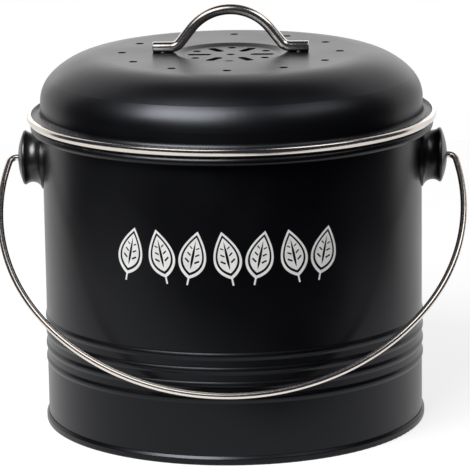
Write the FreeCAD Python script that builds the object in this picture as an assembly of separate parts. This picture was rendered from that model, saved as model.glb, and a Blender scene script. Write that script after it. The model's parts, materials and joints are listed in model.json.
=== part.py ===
import FreeCAD, Part
import math
import os

# Kitchen compost bin: a ribbed steel pail with a rolled rim, a vented dome lid with a bright edge
# band and a bar handle, a wire bail in two ears, a lift-out inner bucket and a charcoal filter.
# Millimetres, +Z up, origin on the floor at the pail's axis, front towards -Y, ears on the X axis.

# Pail wall
BODY_RADIUS = 100.0
RIM_TOP = 160.4
STEEL_SHEET = 0.8
RIM_OVERHANG = 3.7
RIM_BEAD_RADIUS = 2.3
RIM_CURL_ANGLE = 260.0
FLARE_ANGLE = 45.0
FLARE_BEND = 2.0

# Rolled ribs round the lower part of the wall
RIB_COUNT = 4
RIB_PITCH = 7.5
RIB_WIDTH = 4.6
RIB_HEIGHT = 0.6
RIB_LOWEST = 34.4

# Base plate, seamed to the wall with a bead that carries the pail
SEAM_HEIGHT = 4.6
SEAM_SHOULDER = 3.2
SEAM_LIP = 0.35
SEAM_OVERHANG = 1.25
SEAM_WEB = 1.2
SEAM_ROUND = 0.9
BASE_RECESS = 5.0
SEAM_CLEARANCE = 0.05

# Ears: spool-shaped bosses screwed to the wall
EAR_DROP = 20.3
EAR_REACH = 13.3
EAR_FLANGE_RADIUS = 16.7
EAR_FLANGE_EDGE = 0.5
EAR_NECK_RADIUS = 13.2
EAR_CAP_RADIUS = 14.4
EAR_CAP_EDGE = 1.7
EAR_CAP_ROUND = 0.4
EAR_CAP_DOME = 3.0
EAR_SEAT_GAP = 0.05
EAR_WEB = 1.7

# Ear screws and their washers, inside the pail
EAR_SCREW_RADIUS = 2.0
EAR_SCREW_HEAD_RADIUS = 3.6
EAR_SCREW_HEAD_HEIGHT = 2.2
EAR_WASHER_RADIUS = 5.0
EAR_WASHER_SHEET = 0.8
SCREW_CLEARANCE = 0.2
EAR_RECESS_WIDTH = 0.9
EAR_RECESS_SPAN = 3.8
EAR_RECESS_DEPTH = 1.1
FASTENER_GAP = 0.05

# Wire bail
WIRE_RADIUS = 1.75
BAIL_SIDE_ROOM = 8.1
BAIL_BELLY_ROOM = 15.3
BAIL_CROOK_RADIUS = 4.0
BAIL_CROOK_GAP = 0.8
BAIL_STUB = 5.0
BAIL_RUNNING_FIT = 0.05
BAIL_STOP_GAP = 0.3

# Inner bucket, hanging by its lip from the pail's rim
LINER_WALL = 2.4
LINER_ROOM = 5.8
LINER_TAPER = 5.2
LINER_FLOOR_GAP = 0.8
LINER_FLOOR_BEND = 9.0
LINER_LIP_BEND = 2.0
LINER_LIP_REACH = 1.5
SEAT_GAP = 0.05

# Lid pressing
LID_OVERHANG = 0.6
LID_RISE = 32.1
LID_WALL_HEIGHT = 7.9
LID_SHOULDER_WIDTH = 32.0
LID_FOOT_BEND = 2.6

# Bright band crimped over the edge of the lid's flange
BAND_LIP_ROOM = 0.4
BAND_GRIP = 1.4
BAND_EDGE = 0.7
BAND_STAND = 1.45
BAND_DROP = 1.65
CRIMP_CLEARANCE = 0.03

# Vents: a ring of round holes, and a rosette in a shallow dish at the middle
VENT_COUNT = 12
VENT_INSET = 11.4
VENT_DIAMETER = 4.5
DISH_RADIUS = 29.3
DISH_SLOPE = 3.9
DISH_DEPTH = 1.4
DISH_BEND = 2.4
PETAL_COUNT = 6
PETAL_WIDTH = 4.6
PETAL_LENGTH = 12.6
PETAL_MARGIN = 2.6
ROSETTE_HOLE_DIAMETER = 4.4
ROSETTE_HOLE_MARGIN = 4.4

# Lid handle: a round bar bent to an arch with two level feet
BAR_DIAMETER = 5.6
BAR_FOOT_LENGTH = 12.7
BAR_FOOT_INSET = 1.0
BAR_LEG_ANGLE = 52.0
BAR_ARCH_RADIUS = 26.3
BAR_FOOT_BEND = 6.0
BAR_END_ROUND = 0.6

# Lid handle screws and washers, under the lid
BAR_SCREW_INSET = 5.4
BAR_SCREW_RADIUS = 1.5
BAR_SCREW_GRIP = 3.8
BAR_SCREW_HEAD_RADIUS = 2.8
BAR_SCREW_HEAD_HEIGHT = 1.8
BAR_RECESS_WIDTH = 0.7
BAR_RECESS_SPAN = 2.9
BAR_RECESS_DEPTH = 0.9
BAR_WASHER_RADIUS = 3.5
BAR_WASHER_SHEET = 0.5

# Filter holder, gripped by the lid's wall, and the pad that lies in it
HOLDER_SHEET = 1.6
HOLDER_FIT = 0.1
HOLDER_SKIRT = 4.4
HOLDER_CUP_WALL = 5.0
HOLDER_LEDGE = 9.0
HOLDER_SPOKES = 6
HOLDER_SPOKE_WIDTH = 4.0
HOLDER_HUB_RADIUS = 9.0
HOLDER_WINDOWS = 12
HOLDER_WINDOW_DIAMETER = 11.0
PAD_INSET = 28.6
PAD_HEADROOM = 2.95
PAD_THICKNESS = 7.0
PAD_ROUND = 1.2
PAD_FIT = 0.3

AXIS_FOOT = FreeCAD.Vector(0, 0, 0)
UP = FreeCAD.Vector(0, 0, 1)
RIGHT = FreeCAD.Vector(1, 0, 0)
FULL_TURN = 360.0

# Places worked out from the sizes above
BODY_INNER = BODY_RADIUS - STEEL_SHEET
BASE_TOP = BASE_RECESS + STEEL_SHEET
RIM_CENTRE_RADIUS = BODY_RADIUS + RIM_OVERHANG
RIM_CENTRE_HEIGHT = RIM_TOP - RIM_BEAD_RADIUS
RIB_HALF = RIB_WIDTH / 2
RIB_ARC = (RIB_HALF ** 2 + RIB_HEIGHT ** 2) / (4 * RIB_HEIGHT)
EAR_HEIGHT = RIM_TOP - EAR_DROP
EAR_TIP = BODY_RADIUS + EAR_REACH
EAR_SCREW_GRIP = EAR_REACH - BAIL_STUB - BAIL_STOP_GAP - EAR_WEB
BAIL_HALF_WIDTH = EAR_TIP + BAIL_SIDE_ROOM
BAIL_DEPTH = BODY_RADIUS + BAIL_BELLY_ROOM
BAIL_CROOK_START = EAR_TIP + BAIL_CROOK_GAP
LINER_MOUTH_RADIUS = BODY_RADIUS - LINER_ROOM
LINER_FLOOR_RADIUS = LINER_MOUTH_RADIUS - LINER_TAPER
LINER_FLOOR_TOP = BASE_TOP + LINER_FLOOR_GAP + LINER_WALL
LIP_RADIUS = RIM_CENTRE_RADIUS + LINER_LIP_REACH
LIP_TOP = RIM_TOP + SEAT_GAP + LINER_WALL
LEDGE = LIP_TOP + SEAT_GAP + STEEL_SHEET
LID_RADIUS = BODY_RADIUS + LID_OVERHANG
LID_TOP = LEDGE + LID_RISE
LID_UNDERSIDE = LID_TOP - STEEL_SHEET
LID_WALL_TOP = LEDGE + LID_WALL_HEIGHT
LID_FLAT_RADIUS = LID_RADIUS - LID_SHOULDER_WIDTH
BAND_INNER_RADIUS = LIP_RADIUS + BAND_LIP_ROOM
LID_FLANGE_RADIUS = BAND_INNER_RADIUS + BAND_GRIP
BAND_OUTER_RADIUS = LID_FLANGE_RADIUS + BAND_EDGE
VENT_RING_RADIUS = LID_FLAT_RADIUS - VENT_INSET
DISH_FLOOR_RADIUS = DISH_RADIUS - DISH_SLOPE
PETAL_OUTER_RADIUS = DISH_FLOOR_RADIUS - PETAL_MARGIN
PETAL_INNER_RADIUS = PETAL_OUTER_RADIUS - PETAL_LENGTH
ROSETTE_HOLE_RING = DISH_FLOOR_RADIUS - ROSETTE_HOLE_MARGIN
BAR_LEVEL = LID_TOP + BAR_DIAMETER / 2
BAR_FOOT_CORNER = DISH_RADIUS - BAR_FOOT_INSET
BAR_FOOT_END = BAR_FOOT_CORNER + BAR_FOOT_LENGTH
BAR_SCREW_PLACE = BAR_FOOT_END - BAR_SCREW_INSET
PAD_RADIUS = LID_RADIUS - PAD_INSET
PAD_LOW = LID_UNDERSIDE - DISH_DEPTH - PAD_HEADROOM - PAD_THICKNESS
HOLDER_CUP_LEDGE = PAD_LOW - SEAT_GAP


def at(radius, height):
    """A point of a profile: its distance from the axis and its height."""
    return FreeCAD.Vector(radius, 0, height)


def bent_edges(corners):
    """Lines and arcs through (radius, height, bend) corners, each corner rounded by its bend."""
    points = [at(r, z) for r, z, bend in corners]
    edges = []
    start = points[0]
    for i in range(1, len(points) - 1):
        back = (points[i - 1] - points[i]).normalize()
        ahead = (points[i + 1] - points[i]).normalize()
        half_angle = back.getAngle(ahead) / 2
        bend = corners[i][2]
        if bend == 0:
            edges.append(Part.LineSegment(start, points[i]).toShape())
            start = points[i]
            continue
        middle = (back + ahead).normalize()
        centre = points[i] + middle * (bend / math.sin(half_angle))
        reach = bend / math.tan(half_angle)
        enter = points[i] + back * reach
        leave = points[i] + ahead * reach
        if (enter - start).Length > 1e-6:
            edges.append(Part.LineSegment(start, enter).toShape())
        edges.append(Part.Arc(enter, centre - middle * bend, leave).toShape())
        start = leave
    edges.append(Part.LineSegment(start, points[-1]).toShape())
    return edges


def spun(edges):
    """The solid that a closed profile makes when it turns once about the axis."""
    face = Part.Face(Part.Wire(edges))
    return face.revolve(AXIS_FOOT, UP, FULL_TURN)


def spun_corners(corners):
    """A turned solid from a closed run of (radius, height, bend) corners."""
    return spun(bent_edges(corners + [corners[0]]))


def spun_sheet(edges, sheet):
    """A turned sheet piece: the profile is its upper or inner face, the sheet lies beneath."""
    profile = Part.Wire(edges)
    strip = profile.makeOffset2D(-sheet, 0, True, True, False)
    return strip.revolve(AXIS_FOOT, UP, FULL_TURN)


def oval_quarter(across, along):
    """Two arcs for a quarter ellipse: their radii at its side and crown, and the way to their joint."""
    side = along ** 2 / across
    crown = across * (across + along) / (2 * along)
    way = at((across + along) / across, (across + 2 * along) / (2 * along)).normalize()
    return side, crown, way


def rib_edges(wall):
    """The ribs of one face of the wall, bottom to top: tangent arcs with plain wall between them."""
    half_turn = math.asin(RIB_HALF / (2 * RIB_ARC)) / 2
    rise = RIB_ARC * math.sin(half_turn)
    swell = RIB_ARC * (1 - math.cos(half_turn))
    waist = wall + RIB_HEIGHT / 2
    edges = []
    for i in range(RIB_COUNT):
        crest = RIB_LOWEST + i * RIB_PITCH
        foot = at(wall, crest - RIB_HALF)
        head = at(wall, crest + RIB_HALF)
        below = at(waist, crest - RIB_HALF / 2)
        above = at(waist, crest + RIB_HALF / 2)
        if edges:
            edges.append(Part.LineSegment(edges[-1].Vertexes[-1].Point, foot).toShape())
        edges.append(Part.Arc(foot, at(wall + swell, foot.z + rise), below).toShape())
        edges.append(Part.Arc(below, at(wall + RIB_HEIGHT, crest), above).toShape())
        edges.append(Part.Arc(above, at(wall + swell, head.z - rise), head).toShape())
    return edges


def flare_tangent(bead):
    """Where the flared neck runs into a curl of this radius about the rim's centre."""
    lean = math.radians(FLARE_ANGLE)
    radius = RIM_CENTRE_RADIUS - bead * math.cos(lean)
    height = RIM_CENTRE_HEIGHT + bead * math.sin(lean)
    return radius, height


def flare_foot(wall, bead):
    """The height at which the flared neck leaves a wall of this radius."""
    radius, height = flare_tangent(bead)
    return height - (radius - wall) / math.tan(math.radians(FLARE_ANGLE))


def curl_point(angle):
    """A point of the rim's outer curl, by its angle from the level outward direction."""
    turn = math.radians(angle)
    radius = RIM_CENTRE_RADIUS + RIM_BEAD_RADIUS * math.cos(turn)
    return at(radius, RIM_CENTRE_HEIGHT + RIM_BEAD_RADIUS * math.sin(turn))


def body_shell():
    """Pail wall: plain foot in the seam, rolled ribs, flared neck and a curled rim."""
    edges = rib_edges(BODY_INNER)
    foot = at(BODY_INNER, SEAM_WEB + SEAM_CLEARANCE)
    ribs_low = edges[0].Vertexes[0].Point
    ribs_high = at(BODY_INNER, RIB_LOWEST + (RIB_COUNT - 1) * RIB_PITCH + RIB_HALF)
    edges.insert(0, Part.LineSegment(foot, ribs_low).toShape())
    tangent = flare_tangent(RIM_BEAD_RADIUS)
    neck = [
        (ribs_high.x, ribs_high.z, 0),
        (BODY_INNER, flare_foot(BODY_INNER, RIM_BEAD_RADIUS), FLARE_BEND),
        (tangent[0], tangent[1], 0),
    ]
    edges += bent_edges(neck)
    first = 180.0 - FLARE_ANGLE
    curl = [curl_point(first - share * RIM_CURL_ANGLE) for share in (0, 0.5, 1)]
    edges.append(Part.Arc(at(*tangent), curl[1], curl[2]).toShape())
    shell = spun_sheet(edges, STEEL_SHEET)
    hole = screw_shank(EAR_SCREW_RADIUS + SCREW_CLEARANCE, 2 * BODY_RADIUS + 2 * EAR_REACH)
    hole.translate(FreeCAD.Vector(-EAR_TIP, 0, EAR_HEIGHT))
    return shell.cut(hole)


def body_envelope(gap):
    """The space that the wall, neck and rim take up, grown by a gap, for seating the ears."""
    neck_low = flare_foot(BODY_INNER, RIM_BEAD_RADIUS)
    tangent = flare_tangent(RIM_BEAD_RADIUS)
    lean = math.radians(FLARE_ANGLE)
    out = (STEEL_SHEET + gap) / math.cos(lean)
    wall = BODY_RADIUS + gap
    shoulder = neck_low - (out - STEEL_SHEET - gap) / math.tan(lean)
    core = spun_corners([
        (0, 0, 0), (wall, 0, 0), (wall, shoulder, FLARE_BEND - STEEL_SHEET - gap),
        (tangent[0] + out, tangent[1], 0), (0, tangent[1], 0),
    ])
    bead = Part.makeTorus(RIM_CENTRE_RADIUS, RIM_BEAD_RADIUS + gap)
    bead.translate(FreeCAD.Vector(0, 0, RIM_CENTRE_HEIGHT))
    return core.fuse(bead)


def base_plate():
    """Raised floor disc with a seam round its edge that folds up over the foot of the wall."""
    seam_outer = BODY_RADIUS + SEAM_OVERHANG
    slot_inner = BODY_INNER - SEAM_CLEARANCE
    slot_outer = BODY_RADIUS + SEAM_CLEARANCE
    foot_inner = slot_inner - SEAM_WEB
    return spun_corners([
        (0, BASE_TOP, 0),
        (slot_inner, BASE_TOP, SEAM_ROUND),
        (slot_inner, SEAM_WEB, 0),
        (slot_outer, SEAM_WEB, 0),
        (slot_outer, SEAM_HEIGHT, 0),
        (slot_outer + SEAM_LIP, SEAM_HEIGHT, 0),
        (seam_outer, SEAM_SHOULDER, SEAM_ROUND),
        (seam_outer, 0, SEAM_ROUND),
        (foot_inner, 0, SEAM_WEB / 3),
        (foot_inner, BASE_RECESS, STEEL_SHEET / 2),
        (0, BASE_RECESS, 0),
    ])


def screw_shank(radius, length):
    """A plain round bar from the origin along +X."""
    return Part.makeCylinder(radius, length, AXIS_FOOT, RIGHT)


def ear():
    """Right ear: saddle-seated flange, waisted neck, round-edged domed cap, bores for wire and screw."""
    face = EAR_CAP_RADIUS - EAR_CAP_ROUND
    dome = (face ** 2 + EAR_CAP_DOME ** 2) / (2 * EAR_CAP_DOME)
    half = face / 2
    flange_out = BODY_RADIUS + EAR_FLANGE_EDGE
    cap_out = at(EAR_TIP - EAR_CAP_DOME, face)
    cap_in = at(cap_out.x - EAR_CAP_EDGE, face)
    rim = at(cap_out.x - EAR_CAP_EDGE / 2, EAR_CAP_RADIUS)
    neck = at((BODY_RADIUS + cap_in.x) / 2, EAR_NECK_RADIUS)
    tip = at(EAR_TIP, 0)
    crown = at(EAR_TIP - dome + math.sqrt(dome ** 2 - half ** 2), half)
    root = at(BODY_INNER * math.cos(EAR_FLANGE_RADIUS / BODY_INNER), 0)
    flange_in = at(root.x, EAR_FLANGE_RADIUS)
    flange = at(flange_out, EAR_FLANGE_RADIUS)
    edges = [
        Part.LineSegment(root, flange_in).toShape(),
        Part.LineSegment(flange_in, flange).toShape(),
        Part.Arc(flange, neck, cap_in).toShape(),
        Part.Arc(cap_in, rim, cap_out).toShape(),
        Part.Arc(cap_out, crown, tip).toShape(),
        Part.LineSegment(tip, root).toShape(),
    ]
    boss = Part.Face(Part.Wire(edges)).revolve(AXIS_FOOT, RIGHT, FULL_TURN)
    wire_bore = screw_shank(WIRE_RADIUS + BAIL_RUNNING_FIT, EAR_REACH)
    wire_bore.translate(at(EAR_TIP - BAIL_STUB - BAIL_STOP_GAP, 0))
    screw_bore = screw_shank(EAR_SCREW_RADIUS, EAR_SCREW_GRIP + FASTENER_GAP)
    screw_bore.translate(at(BODY_RADIUS, 0))
    screw_mouth = screw_shank(EAR_SCREW_RADIUS, BODY_RADIUS)
    boss = boss.cut(wire_bore).cut(screw_bore).cut(screw_mouth)
    boss.translate(FreeCAD.Vector(0, 0, EAR_HEIGHT))
    return boss.cut(body_envelope(EAR_SEAT_GAP))


def washer_seat():
    """How far from the axis a flat washer lies against the hollow of the wall."""
    return math.sqrt(BODY_INNER ** 2 - EAR_WASHER_RADIUS ** 2) - FASTENER_GAP


def ear_washer():
    """Flat washer between the wall and the head of the right ear's screw."""
    place = washer_seat() - EAR_WASHER_SHEET
    disc = screw_shank(EAR_WASHER_RADIUS, EAR_WASHER_SHEET)
    disc = disc.cut(screw_shank(EAR_SCREW_RADIUS + SCREW_CLEARANCE, EAR_WASHER_SHEET))
    disc.translate(FreeCAD.Vector(place, 0, EAR_HEIGHT))
    return disc


def pan_head_screw(radius, shank, head_radius, head_height):
    """A screw along +X with its seat at the origin and a rounded head behind it."""
    head = screw_shank(head_radius, head_height)
    head.translate(at(-head_height, 0))
    rim = [e for e in head.Edges if e.Closed and e.BoundBox.XMax < -head_height / 2]
    head = head.makeFillet(head_height / 2, rim)
    return head.fuse(screw_shank(radius, shank)).removeSplitter()


def cross_recess(top, width, span, depth):
    """A cutter for the cross in a screw's head, whose top lies this far behind the origin."""
    bars = []
    for across, up in ((width, span), (span, width)):
        bar = Part.makeBox(depth, across, up)
        bar.translate(FreeCAD.Vector(-top, -across / 2, -up / 2))
        bars.append(bar)
    return bars[0].fuse(bars[1])


def ear_screw():
    """Pan-head screw that holds the right ear from inside the pail."""
    seat = washer_seat() - EAR_WASHER_SHEET
    shank = BODY_RADIUS + EAR_SCREW_GRIP - seat
    screw = pan_head_screw(
        EAR_SCREW_RADIUS, shank, EAR_SCREW_HEAD_RADIUS, EAR_SCREW_HEAD_HEIGHT)
    screw = screw.cut(cross_recess(
        EAR_SCREW_HEAD_HEIGHT, EAR_RECESS_WIDTH, EAR_RECESS_SPAN, EAR_RECESS_DEPTH))
    screw.translate(FreeCAD.Vector(seat, 0, EAR_HEIGHT))
    return screw


def on_the_left(shape):
    """The same piece half a turn round the pail."""
    turned = shape.copy()
    turned.rotate(AXIS_FOOT, UP, FULL_TURN / 2)
    return turned


def bail_widest_drop():
    """How far below the pivot the bail is widest, so that its side arc runs into the crook at the ear."""
    side = oval_quarter(BAIL_HALF_WIDTH, BAIL_DEPTH)[0]
    run = BAIL_CROOK_START - BAIL_HALF_WIDTH + side
    return BAIL_CROOK_RADIUS + math.sqrt((side - BAIL_CROOK_RADIUS) ** 2 - run ** 2)


def bail_rest_angle():
    """The lean from straight down at which the hanging bail meets the ribs in front."""
    stop = BODY_RADIUS + RIB_HEIGHT + BAIL_STOP_GAP + WIRE_RADIUS
    reach = BAIL_DEPTH + bail_widest_drop()
    return math.degrees(math.asin(stop / reach))


def bail_half_edges():
    """Right half of the bail's centre line, ear to middle, hanging straight down from the pivot."""
    side, belly, joint_out = oval_quarter(BAIL_HALF_WIDTH, BAIL_DEPTH)
    joint_out.z = -joint_out.z
    widest = at(BAIL_HALF_WIDTH, -bail_widest_drop())
    bottom = at(0, widest.z - BAIL_DEPTH)
    side_centre = at(BAIL_HALF_WIDTH - side, widest.z)
    crook_start = at(BAIL_CROOK_START, 0)
    crook_centre = at(BAIL_CROOK_START, -BAIL_CROOK_RADIUS)
    crook_out = (crook_centre - side_centre).normalize()
    crook_end = side_centre + crook_out * side
    crook_way = (crook_out + UP).normalize()
    joint = side_centre + joint_out * side
    belly_centre = bottom + UP * belly
    belly_way = (joint_out - UP).normalize()
    return [
        Part.LineSegment(at(EAR_TIP - BAIL_STUB, 0), crook_start).toShape(),
        Part.Arc(crook_start, crook_centre + crook_way * BAIL_CROOK_RADIUS, crook_end).toShape(),
        Part.Arc(crook_end, widest, joint).toShape(),
        Part.Arc(joint, belly_centre + belly_way * belly, bottom).toShape(),
    ]


def bail_handle():
    """Round wire bail, crooked into both ears, hanging against the front of the pail."""
    half = bail_half_edges()
    end = half[0].Vertexes[0].Point
    section = Part.Wire(Part.makeCircle(WIRE_RADIUS, end, RIGHT))
    right = Part.Wire(half).makePipeShell([section], True, True)
    wire = right.fuse(right.mirror(AXIS_FOOT, RIGHT)).removeSplitter()
    wire.rotate(AXIS_FOOT, RIGHT, -bail_rest_angle())
    wire.translate(FreeCAD.Vector(0, 0, EAR_HEIGHT))
    return wire


def inner_bucket():
    """Tapered lift-out bucket whose lip rests on the pail's rim."""
    return spun_sheet(bent_edges([
        (0, LINER_FLOOR_TOP, 0),
        (LINER_FLOOR_RADIUS - LINER_WALL, LINER_FLOOR_TOP, LINER_FLOOR_BEND),
        (LINER_MOUTH_RADIUS - LINER_WALL, LIP_TOP, LINER_LIP_BEND + LINER_WALL),
        (LIP_RADIUS, LIP_TOP, 0),
    ]), LINER_WALL)


def lid_outer_edges():
    """Top face of the lid from the middle of the dish out to the edge of the flange."""
    floor = LID_TOP - DISH_DEPTH
    near, far, join_way = oval_quarter(LID_SHOULDER_WIDTH, LID_TOP - LID_WALL_TOP)
    near_centre = at(LID_RADIUS - near, LID_WALL_TOP)
    far_centre = at(LID_FLAT_RADIUS, LID_TOP - far)
    join = near_centre + join_way * near
    far_way = (join_way + UP).normalize()
    near_way = (join_way + RIGHT).normalize()
    edges = bent_edges([
        (0, floor, 0),
        (DISH_FLOOR_RADIUS, floor, DISH_BEND),
        (DISH_RADIUS, LID_TOP, DISH_BEND),
        (LID_FLAT_RADIUS, LID_TOP, 0),
    ])
    edges.append(Part.Arc(at(LID_FLAT_RADIUS, LID_TOP), far_centre + far_way * far, join).toShape())
    edges.append(Part.Arc(join, near_centre + near_way * near, at(LID_RADIUS, LID_WALL_TOP)).toShape())
    edges += bent_edges([
        (LID_RADIUS, LID_WALL_TOP, 0),
        (LID_RADIUS, LEDGE, LID_FOOT_BEND),
        (LID_FLANGE_RADIUS, LEDGE, 0),
    ])
    return edges


def round_hole(diameter, radius, angle):
    """A cutter for one upright hole through the lid's top."""
    drill = Part.makeCylinder(diameter / 2, LID_TOP, at(radius, 0))
    drill.rotate(AXIS_FOOT, UP, angle)
    return drill


def petal_slot(angle):
    """A cutter for one radial slot with rounded ends."""
    half = PETAL_WIDTH / 2
    length = PETAL_OUTER_RADIUS - PETAL_INNER_RADIUS - PETAL_WIDTH
    slot = Part.makeBox(length, PETAL_WIDTH, LID_TOP)
    slot.translate(FreeCAD.Vector(PETAL_INNER_RADIUS + half, -half, 0))
    for end in (PETAL_INNER_RADIUS + half, PETAL_OUTER_RADIUS - half):
        slot = slot.fuse(Part.makeCylinder(half, LID_TOP, at(end, 0)))
    slot = slot.removeSplitter()
    slot.rotate(AXIS_FOOT, UP, angle)
    return slot


def lid_shell():
    """Pressed dome lid: dished rosette of slots and holes, ring of vents, foot and flange."""
    lid = spun_sheet(lid_outer_edges(), STEEL_SHEET)
    cutters = [round_hole(ROSETTE_HOLE_DIAMETER, 0, 0)]
    step = FULL_TURN / VENT_COUNT
    cutters += [round_hole(VENT_DIAMETER, VENT_RING_RADIUS, i * step) for i in range(VENT_COUNT)]
    step = FULL_TURN / PETAL_COUNT
    for i in range(PETAL_COUNT):
        cutters.append(petal_slot(i * step))
        cutters.append(round_hole(ROSETTE_HOLE_DIAMETER, ROSETTE_HOLE_RING, (i + 0.5) * step))
    hole = 2 * (BAR_SCREW_RADIUS + SCREW_CLEARANCE)
    for side in (0, FULL_TURN / 2):
        cutters.append(round_hole(hole, BAR_SCREW_PLACE, side))
    return lid.cut(cutters)


def lid_rim_band():
    """Bright steel band: a round bead outside, and a slot that grips the edge of the lid's flange."""
    top = LEDGE + BAND_STAND
    low = LEDGE - STEEL_SHEET - BAND_DROP
    slot_top = LEDGE + CRIMP_CLEARANCE
    slot_low = LEDGE - STEEL_SHEET - CRIMP_CLEARANCE
    slot_end = LID_FLANGE_RADIUS + CRIMP_CLEARANCE
    bead_low = at(BAND_INNER_RADIUS, low)
    bead_out = at(BAND_OUTER_RADIUS, (low + top) / 2)
    bead_top = at(BAND_INNER_RADIUS, top)
    bead = Part.Arc(bead_low, bead_out, bead_top).toShape()
    return spun([bead] + bent_edges([
        (BAND_INNER_RADIUS, top, 0),
        (BAND_INNER_RADIUS, slot_top, 0),
        (slot_end, slot_top, 0),
        (slot_end, slot_low, 0),
        (BAND_INNER_RADIUS, slot_low, 0),
        (BAND_INNER_RADIUS, low, 0),
    ]))


def lid_handle():
    """Bar handle: level feet on the lid, legs leaning in, a round arch over the rosette."""
    apex = BAR_LEVEL + BAR_FOOT_CORNER * math.tan(math.radians(BAR_LEG_ANGLE))
    line = Part.Wire(bent_edges([
        (-BAR_FOOT_END, BAR_LEVEL, 0),
        (-BAR_FOOT_CORNER, BAR_LEVEL, BAR_FOOT_BEND),
        (0, apex, BAR_ARCH_RADIUS),
        (BAR_FOOT_CORNER, BAR_LEVEL, BAR_FOOT_BEND),
        (BAR_FOOT_END, BAR_LEVEL, 0),
    ]))
    section = Part.Wire(Part.makeCircle(BAR_DIAMETER / 2, at(-BAR_FOOT_END, BAR_LEVEL), RIGHT))
    bar = line.makePipeShell([section], True, True)
    ends = [e for e in bar.Edges if abs(abs(e.CenterOfMass.x) - BAR_FOOT_END) < BAR_END_ROUND / 2]
    bar = bar.makeFillet(BAR_END_ROUND, ends)
    for side in (-BAR_SCREW_PLACE, BAR_SCREW_PLACE):
        depth = BAR_SCREW_GRIP + FASTENER_GAP
        bar = bar.cut(Part.makeCylinder(BAR_SCREW_RADIUS, depth, at(side, LID_TOP)))
    return bar


def bar_washer():
    """Flat washer under the lid at the right foot of the handle."""
    place = at(BAR_SCREW_PLACE, LID_UNDERSIDE - FASTENER_GAP - BAR_WASHER_SHEET)
    disc = Part.makeCylinder(BAR_WASHER_RADIUS, BAR_WASHER_SHEET, place)
    hole = Part.makeCylinder(BAR_SCREW_RADIUS + SCREW_CLEARANCE, BAR_WASHER_SHEET, place)
    return disc.cut(hole)


def bar_screw():
    """Pan-head screw from under the lid into the right foot of the handle."""
    seat = LID_UNDERSIDE - FASTENER_GAP - BAR_WASHER_SHEET
    shank = LID_TOP + BAR_SCREW_GRIP - seat
    screw = pan_head_screw(
        BAR_SCREW_RADIUS, shank, BAR_SCREW_HEAD_RADIUS, BAR_SCREW_HEAD_HEIGHT)
    screw = screw.cut(cross_recess(
        BAR_SCREW_HEAD_HEIGHT, BAR_RECESS_WIDTH, BAR_RECESS_SPAN, BAR_RECESS_DEPTH))
    screw.rotate(AXIS_FOOT, FreeCAD.Vector(0, 1, 0), -FULL_TURN / 4)
    screw.translate(at(BAR_SCREW_PLACE, seat))
    return screw


def filter_holder():
    """Moulded dish: a skirt gripped by the lid's wall, a sloping web with windows, a spoked cup."""
    grip = LID_RADIUS - STEEL_SHEET - HOLDER_FIT
    skirt_low = LID_WALL_TOP - HOLDER_SKIRT
    cup_in = PAD_RADIUS + PAD_FIT
    cup_out = cup_in + HOLDER_SHEET
    cup_top = HOLDER_CUP_LEDGE + HOLDER_CUP_WALL
    cup_floor = HOLDER_CUP_LEDGE - HOLDER_SHEET
    ledge_in = PAD_RADIUS - HOLDER_LEDGE
    dish = spun_corners([
        (grip, skirt_low, 0),
        (grip, LID_WALL_TOP, 0),
        (cup_out, HOLDER_CUP_LEDGE, 0),
        (cup_out, cup_top, 0),
        (cup_in, cup_top, 0),
        (cup_in, HOLDER_CUP_LEDGE, 0),
        (ledge_in, HOLDER_CUP_LEDGE, 0),
        (ledge_in, cup_floor, 0),
        (cup_out, cup_floor, 0),
        (grip - HOLDER_SHEET, LID_WALL_TOP - HOLDER_SHEET, 0),
        (grip - HOLDER_SHEET, skirt_low, 0),
    ])
    hub = Part.makeCylinder(HOLDER_HUB_RADIUS, HOLDER_SHEET, at(0, cup_floor))
    solids = [hub]
    for i in range(HOLDER_SPOKES):
        spoke = Part.makeBox(ledge_in + HOLDER_SHEET, HOLDER_SPOKE_WIDTH, HOLDER_SHEET)
        spoke.translate(FreeCAD.Vector(0, -HOLDER_SPOKE_WIDTH / 2, cup_floor))
        spoke.rotate(AXIS_FOOT, UP, i * FULL_TURN / HOLDER_SPOKES)
        solids.append(spoke)
    dish = dish.fuse(solids).removeSplitter()
    middle = (cup_out + grip) / 2
    step = FULL_TURN / HOLDER_WINDOWS
    windows = [round_hole(HOLDER_WINDOW_DIAMETER, middle, i * step) for i in range(HOLDER_WINDOWS)]
    return dish.cut(windows)


def charcoal_filter():
    """Round filter pad with softened edges, lying in the holder's cup."""
    return spun_corners([
        (0, PAD_LOW, 0),
        (PAD_RADIUS, PAD_LOW, PAD_ROUND),
        (PAD_RADIUS, PAD_LOW + PAD_THICKNESS, PAD_ROUND),
        (0, PAD_LOW + PAD_THICKNESS, 0),
    ])


def build():
    """Every piece of the bin, by name."""
    right_ear = ear()
    right_washer = ear_washer()
    right_screw = ear_screw()
    foot_washer = bar_washer()
    foot_screw = bar_screw()
    return {
        "body_shell": body_shell(),
        "base_plate": base_plate(),
        "ear_right": right_ear,
        "ear_left": on_the_left(right_ear),
        "ear_washer_right": right_washer,
        "ear_washer_left": on_the_left(right_washer),
        "ear_screw_right": right_screw,
        "ear_screw_left": on_the_left(right_screw),
        "bail_handle": bail_handle(),
        "inner_bucket": inner_bucket(),
        "lid_shell": lid_shell(),
        "lid_rim_band": lid_rim_band(),
        "lid_handle": lid_handle(),
        "handle_washer_right": foot_washer,
        "handle_washer_left": on_the_left(foot_washer),
        "handle_screw_right": foot_screw,
        "handle_screw_left": on_the_left(foot_screw),
        "filter_holder": filter_holder(),
        "charcoal_filter": charcoal_filter(),
    }


os.makedirs("parts", exist_ok=True)
for name, shape in build().items():
    shape.exportStep("parts/" + name + ".step")
    box = shape.BoundBox
    print(name, len(shape.Solids), shape.isValid(), round(shape.Volume, 1),
          [round(v, 2) for v in (box.XMin, box.XMax, box.YMin, box.YMax, box.ZMin, box.ZMax)])
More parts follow.
